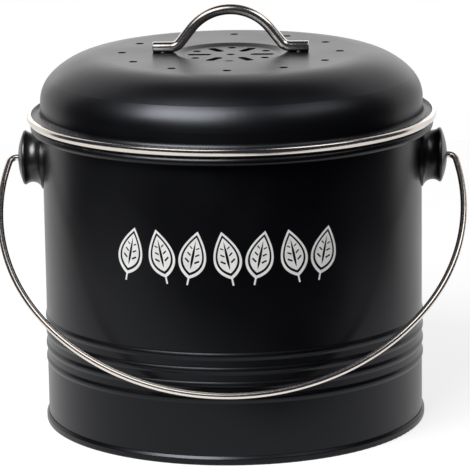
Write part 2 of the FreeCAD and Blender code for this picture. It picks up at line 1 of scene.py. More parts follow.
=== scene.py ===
import json
import logging
import math
from dataclasses import dataclass, field
from enum import Enum
from functools import cache

import bmesh
import bpy
from bpy.types import ID, Collection, Material, Mesh, Node, NodeInputs, NodeOutputs, NodeTree, Object
from bpy.types import NodeSocket as Socket
from mathutils import Matrix, Vector, noise

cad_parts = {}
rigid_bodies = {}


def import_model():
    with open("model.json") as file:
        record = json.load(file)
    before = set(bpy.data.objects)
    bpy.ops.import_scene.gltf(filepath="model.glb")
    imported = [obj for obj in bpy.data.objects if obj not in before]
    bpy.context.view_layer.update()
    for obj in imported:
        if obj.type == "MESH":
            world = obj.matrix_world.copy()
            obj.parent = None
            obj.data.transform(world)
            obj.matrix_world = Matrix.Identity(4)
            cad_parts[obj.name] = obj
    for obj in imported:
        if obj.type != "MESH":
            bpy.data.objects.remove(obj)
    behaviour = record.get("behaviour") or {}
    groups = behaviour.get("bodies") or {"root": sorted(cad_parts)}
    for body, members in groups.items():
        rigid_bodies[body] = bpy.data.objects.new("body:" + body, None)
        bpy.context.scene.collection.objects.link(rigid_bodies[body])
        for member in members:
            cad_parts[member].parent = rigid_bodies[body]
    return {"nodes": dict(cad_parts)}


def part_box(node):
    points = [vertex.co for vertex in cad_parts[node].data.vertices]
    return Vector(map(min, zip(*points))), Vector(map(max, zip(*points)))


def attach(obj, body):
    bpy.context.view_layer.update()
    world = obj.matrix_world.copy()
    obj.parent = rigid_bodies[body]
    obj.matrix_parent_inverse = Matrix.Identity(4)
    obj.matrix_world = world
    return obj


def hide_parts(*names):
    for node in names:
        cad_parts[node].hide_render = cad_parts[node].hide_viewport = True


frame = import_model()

LOG = logging.getLogger("compost_bin")
MM = 0.001

Colour = tuple[float, float, float]
Place = tuple[float, float, float]
Point = tuple[float, float]
Feed = Socket | float | int | bool | tuple | Material | NodeTree
Inputs = dict[str | int, Feed]

FULL_TURN = 2.0 * math.pi
QUARTER_TURN = math.pi / 2
PRINT_SIZES = (
    "Leaf Length", "Leaf Width", "Line Width", "Pitch", "Tilt", "Ink Thickness", "Wall Radius", "Height")
EAR_HARDWARE = ("ear_washer_right", "ear_washer_left", "ear_screw_right", "ear_screw_left")
HANDLE_HARDWARE = ("handle_washer_right", "handle_washer_left", "handle_screw_right", "handle_screw_left")
ARC_STEP = math.radians(1.5)
ARC_LEAST = 6


def rgba(colour: Colour) -> tuple[float, float, float, float]:
    """The colour with full alpha, as a node socket takes it."""
    return (*colour, 1.0)


class NodeBench:
    """Adds nodes to one tree and wires them together."""

    def __init__(self, tree: NodeTree) -> None:
        """Keep the tree that the bench works on."""
        self.tree = tree

    def add(self, kind: str, inputs: Inputs | None = None, **settings: object) -> Node:
        """Add one node.

        Args:
            kind: Blender's name for the node type.
            inputs: Sockets or plain values, by input name or number.
            settings: Properties of the node itself.

        Returns:
            The new node.
        """
        node = self.tree.nodes.new(kind)
        for name, value in settings.items():
            setattr(node, name, value)
        for key, value in (inputs or {}).items():
            self.feed(node.inputs[key], value)
        return node

    def out(self, kind: str, inputs: Inputs | None = None, **settings: object) -> Socket:
        """Add one node, for its first output."""
        node = self.add(kind, inputs, **settings)
        return node.outputs[0]

    def feed(self, target: Socket, value: Feed) -> None:
        """Link a socket to the target, or set the target's own value.

        Args:
            target: The input that takes the value.
            value: A socket to link, or a plain value.
        """
        if isinstance(value, Socket):
            self.tree.links.new(value, target)
        else:
            target.default_value = value

    def maths(self, operation: str, *values: Feed) -> Socket:
        """One Math node."""
        return self.out("ShaderNodeMath", dict(enumerate(values)), operation=operation)

    def vector_maths(self, operation: str, *values: Feed) -> Socket:
        """The result of one Vector Math node, a value for LENGTH and DOT_PRODUCT."""
        node = self.add("ShaderNodeVectorMath", dict(enumerate(values)), operation=operation)
        return node.outputs["Value" if operation in ("LENGTH", "DOT_PRODUCT") else "Vector"]

    def mix(self, share: Feed, low: Feed, high: Feed) -> Socket:
        """Blend two colours."""
        node = self.add("ShaderNodeMix", {0: share, 6: low, 7: high}, data_type="RGBA")
        return node.outputs[2]

    def between(self, share: Feed, low: float, high: float) -> Socket:
        """Turn a share of 0 to 1 into a value between two limits."""
        return self.out("ShaderNodeMapRange", {"Value": share, "To Min": low, "To Max": high})

    def stretch(self, value: Feed, low: float, high: float) -> Socket:
        """Turn a value between two limits into a share of 0 to 1."""
        return self.out("ShaderNodeMapRange", {"Value": value, "From Min": low, "From Max": high})

    def times(self, one: Feed, other: Feed) -> Socket:
        """The product of two values."""
        return self.out("ShaderNodeMath", {0: one, 1: other}, operation="MULTIPLY")

    def xyz(self, x: Feed = 0.0, y: Feed = 0.0, z: Feed = 0.0) -> Socket:
        """A vector from its three values."""
        return self.out("ShaderNodeCombineXYZ", {0: x, 1: y, 2: z})

    def join(self, *pieces: Socket) -> Socket:
        """Pieces of geometry joined in one.

        Args:
            pieces: The pieces, in order.

        Returns:
            The joined geometry.
        """
        node = self.add("GeometryNodeJoinGeometry")
        for piece in pieces:
            self.feed(node.inputs[0], piece)
        return node.outputs[0]

    def noise(self, place: Feed, scale: Feed, detail: float = 2.0) -> Socket:
        """A noise value at a place."""
        inputs = {"Vector": place, "Scale": scale, "Detail": detail}
        return self.out("ShaderNodeTexNoise", inputs)

    def object_place(self) -> Socket:
        """The point's place in its object, in metres."""
        return self.add("ShaderNodeTexCoord").outputs["Object"]

    def seen(self) -> Socket:
        """1 where the eye or a reflection looks, 0 for the light that surfaces scatter.

        Returns:
            The value.
        """
        path = self.add("ShaderNodeLightPath").outputs
        direct = self.maths("MAXIMUM", path["Is Camera Ray"], path["Is Glossy Ray"])
        return self.maths("MAXIMUM", direct, path["Is Transmission Ray"])

    def group(self, tree: NodeTree, inputs: dict[str, Feed]) -> NodeOutputs:
        """Place a shared shader group, for its outputs."""
        return self.add("ShaderNodeGroup", inputs, node_tree=tree).outputs


def shader_group(
    name: str, inputs: dict[str, float | Place], outputs: tuple[str, ...]
) -> tuple[NodeBench, NodeOutputs, NodeInputs]:
    """Start a shader node group.

    Args:
        name: The group's name.
        inputs: Its inputs and their default values.
        outputs: The names of its value outputs.

    Returns:
        A bench on the group's tree, the values given to it and the places of those it makes.
    """
    tree = bpy.data.node_groups.new(name, "ShaderNodeTree")
    for label, value in inputs.items():
        kind = "NodeSocketFloat" if isinstance(value, float) else "NodeSocketVector"
        tree.interface.new_socket(label, in_out="INPUT", socket_type=kind).default_value = value
    for label in outputs:
        tree.interface.new_socket(label, in_out="OUTPUT", socket_type="NodeSocketFloat")
    bench = NodeBench(tree)
    return bench, bench.add("NodeGroupInput").outputs, bench.add("NodeGroupOutput").inputs


@cache
def skin_group() -> NodeTree:
    """Fine surface relief and a slow mottle, for paint and plastic.

    Returns:
        The group's tree.
    """
    given_values = {"Relief Scale": 900.0, "Mottle Scale": 20.0}
    bench, given, made = shader_group("surface_skin", given_values, ("Relief", "Mottle"))
    fine_ratio, fine_share = 3.7, 0.35
    mottle_low, mottle_high = 0.32, 0.68
    place = bench.object_place()
    coarse = bench.noise(place, given["Relief Scale"])
    fine = bench.noise(place, bench.times(given["Relief Scale"], fine_ratio))
    slow = bench.noise(place, given["Mottle Scale"], detail=4.0)
    bench.feed(made["Relief"], bench.maths("MULTIPLY_ADD", fine, fine_share, coarse))
    bench.feed(made["Mottle"], bench.stretch(slow, mottle_low, mottle_high))
    return bench.tree


@cache
def lines_group() -> NodeTree:
    """Polishing lines that run round an axis, for bent wire, bar and band.

    Returns:
        The group's tree.
    """
    given_values = {"Centre": (0.0, 0.0, 0.0), "Axis": (0.0, 0.0, 1.0), "Line Scale": 6000.0}
    bench, given, made = shader_group("lines_round_axis", given_values, ("Lines", "Streaks"))
    streak_scale = 45.0
    place = bench.object_place()
    offset = bench.vector_maths("SUBTRACT", place, given["Centre"])
    along = bench.vector_maths("DOT_PRODUCT", offset, given["Axis"])
    rise = bench.out("ShaderNodeVectorMath", {0: given["Axis"], 3: along}, operation="SCALE")
    level = bench.vector_maths("SUBTRACT", offset, rise)
    reach = bench.vector_maths("LENGTH", level)
    across = bench.xyz(x=reach, y=along)
    bench.feed(made["Lines"], bench.noise(across, given["Line Scale"], detail=3.0))
    bench.feed(made["Streaks"], bench.noise(place, streak_scale, detail=3.0))
    return bench.tree


@cache
def wear_group() -> NodeTree:
    """Patchy wear along one round edge of a turned piece.

    Returns:
        The group's tree.
    """
    given_values = {"Edge Radius": 0.1, "Edge Height": 0.0, "Reach": 0.001, "Patch Scale": 260.0}
    bench, given, made = shader_group("edge_wear", given_values, ("Wear",))
    patch_low, patch_high = 0.5, 0.75
    place = bench.object_place()
    axes = bench.add("ShaderNodeSeparateXYZ", {0: place}).outputs
    flat = bench.xyz(x=axes[0], y=axes[1])
    radius = bench.vector_maths("LENGTH", flat)
    outward = bench.maths("SUBTRACT", radius, given["Edge Radius"])
    rise = bench.maths("SUBTRACT", axes[2], given["Edge Height"])
    offset = bench.xyz(x=outward, y=rise)
    away = bench.vector_maths("LENGTH", offset)
    near = bench.between(bench.maths("DIVIDE", away, given["Reach"]), 1.0, 0.0)
    blotch = bench.noise(place, given["Patch Scale"], detail=5.0)
    patch = bench.stretch(blotch, patch_low, patch_high)
    bench.feed(made["Wear"], bench.times(near, patch))
    return bench.tree


@cache
def marks_group() -> NodeTree:
    """Hair-fine handling marks that cross each other.

    Returns:
        The group's tree.
    """
    given_values = {"Mark Scale": 40.0, "Stretch": 30.0}
    bench, given, made = shader_group("handling_marks", given_values, ("Marks",))
    mark_axis, mark_turns = (0.3, 0.5, 0.8), (0.6, 2.1)
    mark_low, mark_high = 0.66, 0.74
    stretch = given["Stretch"]
    layers = []
    for turn in mark_turns:
        about = {"Vector": bench.object_place(), "Axis": mark_axis, "Angle": turn}
        turned = bench.out("ShaderNodeVectorRotate", about)
        length = bench.xyz(x=1.0, y=stretch, z=stretch)
        drawn = bench.vector_maths("MULTIPLY", turned, length)
        value = bench.noise(drawn, given["Mark Scale"], detail=1.0)
        layers.append(bench.stretch(value, mark_low, mark_high))
    bench.feed(made["Marks"], bench.maths("MAXIMUM", *layers))
    return bench.tree


@dataclass(frozen=True)
class RoundEdge:
    """One round edge of a turned piece that takes wear."""

    radius: float
    height: float
    reach: float


@dataclass(frozen=True)
class Marks:
    """Handling marks: their scale, how long they are drawn and how strongly they dull a surface."""

    scale: float
    stretch: float
    strength: float


class SurfaceBench(NodeBench):
    """A bench on a material's tree that feeds the material's shader."""

    def __init__(self, material: Material) -> None:
        """Keep the material's tree and the inputs of its shader."""
        super().__init__(material.node_tree)
        self.shader = material.node_tree.nodes["Principled BSDF"].inputs

    def constant(self, name: str, value: Feed) -> None:
        """Set one of the shader's own values."""
        self.shader[name].default_value = value

    def gloss(self, share: Socket, low: float, high: float) -> None:
        """Shift the roughness between two limits by a share."""
        self.feed(self.shader["Roughness"], self.between(share, low, high))

    def relief(self, height: Socket, depth: float) -> None:
        """Give the surface a fine relief."""
        bump = self.out("ShaderNodeBump", {"Height": height, "Distance": depth, "Strength": 1.0})
        self.feed(self.shader["Normal"], bump)

    def marked(self, share: Socket, marks: Marks) -> Socket:
        """A share of dullness with handling marks on top."""
        lines = self.group(marks_group(), {"Mark Scale": marks.scale, "Stretch": marks.stretch})
        return self.maths("MULTIPLY_ADD", lines["Marks"], marks.strength, share)


@dataclass(frozen=True)
class Finish:
    """What every finish has: a name, a colour and a roughness."""

    name: str
    colour: Colour
    roughness: float

    def material(self) -> Material:
        """The Blender material of this finish, made on first use.

        Returns:
            The material.
        """
        made = bpy.data.materials.get(self.name)
        if made is None:
            made = bpy.data.materials.new(self.name)
            made.use_nodes = True
            self.wire(SurfaceBench(made))
        return made

    def wire(self, bench: SurfaceBench) -> None:
        """Wire what varies over the surface into the shader."""
        raise NotImplementedError

    def toned(self, bench: SurfaceBench, share: Socket, other: Colour) -> Socket:
        """The finish's own colour, shifted to another by a share."""
        return bench.mix(share, rgba(self.colour), rgba(other))


@dataclass(frozen=True)
class SkinFinish(Finish):
    """A finish with a fine relief and a slow mottle in its colour and its gloss."""

    haze: Colour = (0.05, 0.05, 0.052)
    tint: Colour = (1.0, 1.0, 1.0)
    sheen: float = 0.5
    metallic: float = 0.0
    relief_scale: float = 1500.0
    relief_depth: float = 0.01 * MM
    mottle_scale: float = 30.0
    gloss_spread: Point = (-0.04, 0.04)

    def wire(self, bench: SurfaceBench) -> None:
        """Mottled colour and gloss over the relief.

        Args:
            bench: The material's bench.
        """
        bench.constant("Metallic", self.metallic)
        bench.constant("Specular IOR Level", self.sheen)
        bench.constant("Specular Tint", rgba(self.tint))
        scales = {"Relief Scale": self.relief_scale, "Mottle Scale": self.mottle_scale}
        skin = bench.group(skin_group(), scales)
        colour = self.toned(bench, skin["Mottle"], self.haze)
        bench.feed(bench.shader["Base Color"], self.worn(bench, colour))
        low, high = self.gloss_spread
        bench.gloss(self.handled(bench, skin["Mottle"]), self.roughness + low, self.roughness + high)
        bench.relief(skin["Relief"], self.relief_depth)

    def worn(self, bench: SurfaceBench, colour: Socket) -> Socket:
        """The colour with its wear; a plain skin has none."""
        return colour

    def handled(self, bench: SurfaceBench, share: Socket) -> Socket:
        """The share of dullness with its handling marks; a plain skin has none."""
        return share


@dataclass(frozen=True)
class PowderCoat(SkinFinish):
    """Satin black powder coat on steel sheet, worn a little along its edges."""

    haze: Colour = (0.0008, 0.0008, 0.001)
    tint: Colour = (0.87, 0.9, 1.0)
    sheen: float = 0.25
    relief_scale: float = 1100.0
    relief_depth: float = 0.004 * MM
    mottle_scale: float = 24.0
    gloss_spread: Point = (-0.025, 0.025)
    bare: Colour = (0.16, 0.155, 0.15)
    edges: tuple[RoundEdge, ...] = ()

    def worn(self, bench: SurfaceBench, colour: Socket) -> Socket:
        """The colour with bare patches along the edges.

        Args:
            bench: The material's bench.
            colour: The colour before wear.

        Returns:
            The colour after it.
        """
        for edge in self.edges:
            given = {"Edge Radius": edge.radius, "Edge Height": edge.height, "Reach": edge.reach}
            wear = bench.group(wear_group(), given)
            colour = bench.mix(wear["Wear"], colour, rgba(self.bare))
        return colour


@dataclass(frozen=True)
class MouldedPlastic(SkinFinish):
    """Moulded plastic with a fine grain, a faint bloom and handling marks."""

    marks: Marks = Marks(scale=35.0, stretch=22.0, strength=0.4)

    def handled(self, bench: SurfaceBench, share: Socket) -> Socket:
        """The share of dullness with handling marks."""
        return bench.marked(share, self.marks)


@dataclass(frozen=True)
class ZincPlate(SkinFinish):
    """Zinc-plated steel of screws and washers, with a patchy bloom."""

    haze: Colour = (0.45, 0.46, 0.47)
    metallic: float = 1.0
    relief_scale: float = 2600.0
    relief_depth: float = 0.006 * MM
    mottle_scale: float = 320.0
    gloss_spread: Point = (0.0, 0.2)


@dataclass(frozen=True)
class PrintInk(SkinFinish):
    """White printing ink on the paint, thinner here and there."""

    haze: Colour = (0.74, 0.74, 0.72)
    relief_scale: float = 2200.0
    relief_depth: float = 0.004 * MM
    mottle_scale: float = 180.0
    gloss_spread: Point = (0.0, 0.15)


@dataclass(frozen=True)
class PolishedSteel(Finish):
    """Bright stainless steel with polishing lines round an axis."""

    centre: Place = (0.0, 0.0, 0.0)
    axis: Place = (0.0, 0.0, 1.0)
    shade: Colour = (0.55, 0.51, 0.465)
    line_scale: float = 7000.0
    line_depth: float = 0.002 * MM
    gloss_range: Point = (0.7, 1.4)
    marks: Marks = Marks(scale=60.0, stretch=25.0, strength=0.5)

    def wire(self, bench: SurfaceBench) -> None:
        """Steel toned by streaks, with lines and fine marks in its gloss.

        Args:
            bench: The material's bench.
        """
        bench.constant("Metallic", 1.0)
        given = {"Centre": self.centre, "Axis": self.axis, "Line Scale": self.line_scale}
        lines = bench.group(lines_group(), given)
        tone = bench.times(lines["Lines"], lines["Streaks"])
        bench.feed(bench.shader["Base Color"], self.toned(bench, tone, self.shade))
        low, high = self.gloss_range
        dull = bench.marked(lines["Streaks"], self.marks)
        bench.gloss(dull, self.roughness * low, self.roughness * high)
        bench.relief(lines["Lines"], self.line_depth)


@dataclass(frozen=True)
class CarbonFelt(Finish):
    """Needled felt filled with carbon."""

    fibre: Colour = (0.06, 0.06, 0.062)
    fibre_ways: tuple[Place, ...] = ((420.0, 2600.0, 1200.0), (2600.0, 420.0, 1200.0))
    nap: float = 0.25 * MM

    def wire(self, bench: SurfaceBench) -> None:
        """Matted fibres in two directions over a dark ground.

        Args:
            bench: The material's bench.
        """
        place = bench.object_place()
        drawn = [bench.vector_maths("MULTIPLY", place, way) for way in self.fibre_ways]
        mat = bench.maths("MAXIMUM", *(bench.noise(line, 1.0, detail=4.0) for line in drawn))
        bench.feed(bench.shader["Base Color"], self.toned(bench, mat, self.fibre))
        bench.gloss(mat, self.roughness, 1.0)
        bench.relief(mat, self.nap)


def node_object(name: str) -> Object:
    """The object of a CAD node."""
    return frame["nodes"][name]


def dress(names: tuple[str, ...], finish: Finish) -> None:
    """Give CAD nodes a finish.

    Args:
        names: The nodes.
        finish: The finish that they take.
    """
    for name in names:
        node_object(name).material_slots[0].material = finish.material()
        LOG.info("%s: %s", name, finish.name)


def wall_radius(name: str, height: float) -> float:
    """How far the front of a CAD node is from the axis.

    Args:
        name: The node.
        height: The height to look at, in metres.

    Returns:
        The distance in metres.
    """
    low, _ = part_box(name)
    start = Vector((0.0, 2.0 * low.y, height))
    found, place, _, _ = node_object(name).ray_cast(start, Vector((0.0, 1.0, 0.0)))
    if not found:
        raise ValueError(f"{name} has no wall at {height}")
    return -place.y


def linked(name: str, data: ID) -> Object:
    """A new object in the scene's own collection.

    Args:
        name: The object's name.
        data: Its mesh, lamp or camera.

    Returns:
        The object.
    """
    made = bpy.data.objects.new(name, data)
    bpy.context.scene.collection.objects.link(made)
    return made


def new_piece(mesh: Mesh, finish: Finish) -> Object:
    """A new piece of the bin with its mesh's name, at the origin.

    Args:
        mesh: Its mesh, already in place.
        finish: The finish that it takes.

    Returns:
        The piece.
    """
    mesh.materials.clear()
    mesh.materials.append(finish.material())
    return linked(mesh.name, mesh)


def arc_points(centre: Point, radius: float, start: float, end: float) -> list[Point]:
    """Points along an arc, about one to each degree and a half.

    Args:
        centre: The arc's centre in its plane.
        radius: The arc's radius.
        start: The first angle in radians.
        end: The last angle in radians.

    Returns:
        The points, both ends among them.
    """
    steps = max(ARC_LEAST, math.ceil(abs(end - start) / ARC_STEP))
    angles = [start + (end - start) * i / steps for i in range(steps + 1)]
    return [(centre[0] + radius * math.cos(a), centre[1] + radius * math.sin(a)) for a in angles]


def skin_rings(
    name: str,
    rings: list[list[Vector]],
    flat: frozenset[int] = frozenset(),
    closed: bool = False,
    peaks: tuple[Vector, ...] = (),
) -> Mesh:
    """A mesh skinned over rings of points.

    Args:
        name: The mesh's name.
        rings: Rings with equal numbers of points, in order.
        flat: The numbers of the strips between points that are flat.
        closed: Whether the last ring joins the first; if not, both ends are capped.
        peaks: Points that the first and the last ring run up to, in place of flat caps.

    Returns:
        The mesh.
    """
    shape = bmesh.new()
    loops = [[shape.verts.new(point) for point in ring] for ring in rings]
    pairs = list(zip(loops, loops[1:]))
    if closed:
        pairs.append((loops[-1], loops[0]))
    around = len(rings[0])
    for near, far in pairs:
        for i in range(around):
            j = (i + 1) % around
            face = shape.faces.new((near[i], near[j], far[j], far[i]))
            face.smooth = i not in flat
    for loop, peak in zip((loops[0], loops[-1]), peaks):
        tip = shape.verts.new(peak)
        for i in range(around):
            face = shape.faces.new((tip, loop[i], loop[(i + 1) % around]))
            face.smooth = True
    if not closed and not peaks:
        shape.faces.new(loops[0])
        shape.faces.new(loops[-1])
    bmesh.ops.recalc_face_normals(shape, faces=shape.faces)
    mesh = bpy.data.meshes.new(name)
    shape.to_mesh(mesh)
    shape.free()
    return mesh


@dataclass(frozen=True)
class RoundStation:
    """One place along a round bar: its middle and its radius there."""

    middle: Vector
    radius: float


def sweep_round(name: str, stations: list[RoundStation], across: Vector, sides: int = 24) -> Mesh:
    """A round bar along a line that lies in one plane.

    Args:
        name: The mesh's name.
        stations: The places along the bar.
        across: The plane's normal.
        sides: Points round the bar.

    Returns:
        The mesh.
    """
    turns = [FULL_TURN * k / sides for k in range(sides)]
    rings = []
    for i, station in enumerate(stations):
        before, after = stations[max(0, i - 1)], stations[min(len(stations) - 1, i + 1)]
        out = across.cross((after.middle - before.middle).normalized())
        spokes = [out * math.cos(turn) + across * math.sin(turn) for turn in turns]
        rings.append([station.middle + spoke * station.radius for spoke in spokes])
    return skin_rings(name, rings)


def stand_for(piece: Object, node: str, body: str) -> Object:
    """Let a smooth steel piece take the place of its CAD node.

    Args:
        piece: The new object.
        node: The CAD node.
        body: The body that it moves with.

    Returns:
        The piece.
    """
    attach(piece, body)
    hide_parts(node)
    return piece


@dataclass
class BailWire:
    """The wire of the bail as one smooth sweep."""

    finish: PolishedSteel
    wire_radius: float = 1.75 * MM
    depth: float = 115.3 * MM
    ear_tip: float = 113.3 * MM
    stub: float = 5.0 * MM
    crook_gap: float = 0.8 * MM
    crook_radius: float = 4.0 * MM
    pivot_height: float = 140.1 * MM

    def half_line(self, half_width: float) -> list[Point]:
        """The right half of the middle line, from the ear to the lowest point.

        Args:
            half_width: How far the line swells from the middle.

        Returns:
            Points as distance from the middle and height over the pivot when the bail hangs straight.
        """
        side = self.depth ** 2 / half_width
        belly = half_width * (half_width + self.depth) / (2.0 * self.depth)
        joint_rise = (half_width + 2.0 * self.depth) / (2.0 * self.depth)
        joint = math.atan2(joint_rise, (half_width + self.depth) / half_width)
        crook = (self.ear_tip + self.crook_gap, -self.crook_radius)
        run = crook[0] - half_width + side
        drop = self.crook_radius + math.sqrt((side - self.crook_radius) ** 2 - run ** 2)
        side_centre = (half_width - side, -drop)
        meet = math.atan2(crook[1] - side_centre[1], crook[0] - side_centre[0])
        return [
            (self.ear_tip - self.stub, 0.0),
            *arc_points(crook, self.crook_radius, QUARTER_TURN, meet),
            *arc_points(side_centre, side, meet, -joint)[1:],
            *arc_points((0.0, belly - drop - self.depth), belly, -joint, -QUARTER_TURN)[1:],
        ]

    def build(self) -> Object:
        """The wire, which stands for its CAD node.

        Returns:
            The piece.
        """
        low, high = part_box("bail_handle")
        half = self.half_line(high.x - self.wire_radius)
        line = half + [(-x, z) for x, z in reversed(half[:-1])]
        lean = math.atan2(-low.y - self.wire_radius, self.pivot_height - low.z - self.wire_radius)
        fall = Vector((0.0, -math.sin(lean), -math.cos(lean)))
        pivot = Vector((0.0, 0.0, self.pivot_height))
        middles = [pivot + Vector((x, 0.0, 0.0)) - fall * z for x, z in line]
        stations = [RoundStation(middle, self.wire_radius) for middle in middles]
        mesh = sweep_round("bail_wire", stations, Vector((1.0, 0.0, 0.0)).cross(fall))
        return stand_for(new_piece(mesh, self.finish), "bail_handle", "bail")


@dataclass
class HandleBar:
    """The lid's bar handle as one smooth sweep."""

    finish: PolishedSteel
    foot_corner: float = 28.3 * MM
    foot_bend: float = 6.0 * MM
    leg_angle: float = math.radians(52.0)
    arch_radius: float = 26.3 * MM
    end_round: float = 0.6 * MM
    end_steps: int = 5
    sides: int = 32

    def build(self) -> Object:
        """The bar, which stands for its CAD node.

        Returns:
            The piece.
        """
        low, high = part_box("lid_handle")
        radius = (high.y - low.y) / 2
        level = low.z + radius
        bend = (self.foot_corner + self.foot_bend * math.tan(self.leg_angle / 2), level + self.foot_bend)
        arch = (0.0, high.z - radius - self.arch_radius)
        line = [
            *arc_points(bend, self.foot_bend, -QUARTER_TURN, -QUARTER_TURN - self.leg_angle),
            *arc_points(arch, self.arch_radius, QUARTER_TURN - self.leg_angle, QUARTER_TURN),
        ]
        half = []
        for i in range(self.end_steps + 1):
            turn = QUARTER_TURN * i / self.end_steps
            inset = self.end_round * (1.0 - math.sin(turn))
            middle = Vector((high.x - self.end_round * (1.0 - math.cos(turn)), 0.0, level))
            half.append(RoundStation(middle, radius - inset))
        half += [RoundStation(Vector((x, 0.0, z)), radius) for x, z in line]
        mirror = Vector((-1.0, 1.0, 1.0))
        other = [RoundStation(station.middle * mirror, station.radius) for station in reversed(half[:-1])]
        mesh = sweep_round("handle_bar", half + other, Vector((0.0, 1.0, 0.0)), self.sides)
        return stand_for(new_piece(mesh, self.finish), "lid_handle", "lid")


@dataclass
class RimBand:
    """The lid's bright band as one smooth turned hem with its slot, rounded above and sloped below."""

    finish: PolishedSteel
    inner_radius: float = 105.6 * MM
    slot_end: float = 107.03 * MM
    slot_low: float = 162.87 * MM
    slot_top: float = 163.73 * MM
    top_round: float = 1.4 * MM
    foot_round: float = 0.5 * MM
    slope: float = math.radians(24.0)
    slope_height: float = 1.3 * MM
    knee_round: float = 2.0 * MM
    corner_skip: int = 6
    knee_skip: int = 4
    around: int = 480

    def build(self) -> Object:
        """The band, which stands for its CAD node.

        Returns:
            The piece.
        """
        low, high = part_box("lid_rim_band")
        knee = low.z + self.foot_round + self.slope_height
        foot = high.y - self.slope_height * math.tan(self.slope) - self.foot_round / math.cos(self.slope)
        foot_middle = (foot, low.z + self.foot_round)
        knee_middle = (high.y - self.knee_round, knee + self.knee_round * math.tan(self.slope / 2))
        top_middle = (high.y - self.top_round, high.z - self.top_round)
        bead = [
            *arc_points(foot_middle, self.foot_round, -QUARTER_TURN, -self.slope)[::self.corner_skip],
            *arc_points(knee_middle, self.knee_round, -self.slope, 0.0)[::self.knee_skip],
            *arc_points(top_middle, self.top_round, 0.0, QUARTER_TURN)[::self.corner_skip],
        ]
        slot = [
            (self.inner_radius, high.z), (self.inner_radius, self.slot_top), (self.slot_end, self.slot_top),
            (self.slot_end, self.slot_low), (self.inner_radius, self.slot_low), (self.inner_radius, low.z),
        ]
        section = bead + slot
        flat = frozenset(range(len(bead) - 1, len(section)))
        rings = []
        for i in range(self.around):
            turn = FULL_TURN * i / self.around
            rings.append([Vector((r * math.cos(turn), r * math.sin(turn), z)) for r, z in section])
        mesh = skin_rings("rim_band", rings, flat, closed=True)
        return stand_for(new_piece(mesh, self.finish), "lid_rim_band", "lid")


@dataclass(frozen=True)
class Strip:
    """A narrow strip along a leaf's middle line.

    Its width is a share of the printed line's, its length and start are shares of the leaf's length.
    """

    width: float
    length: float
    start: float


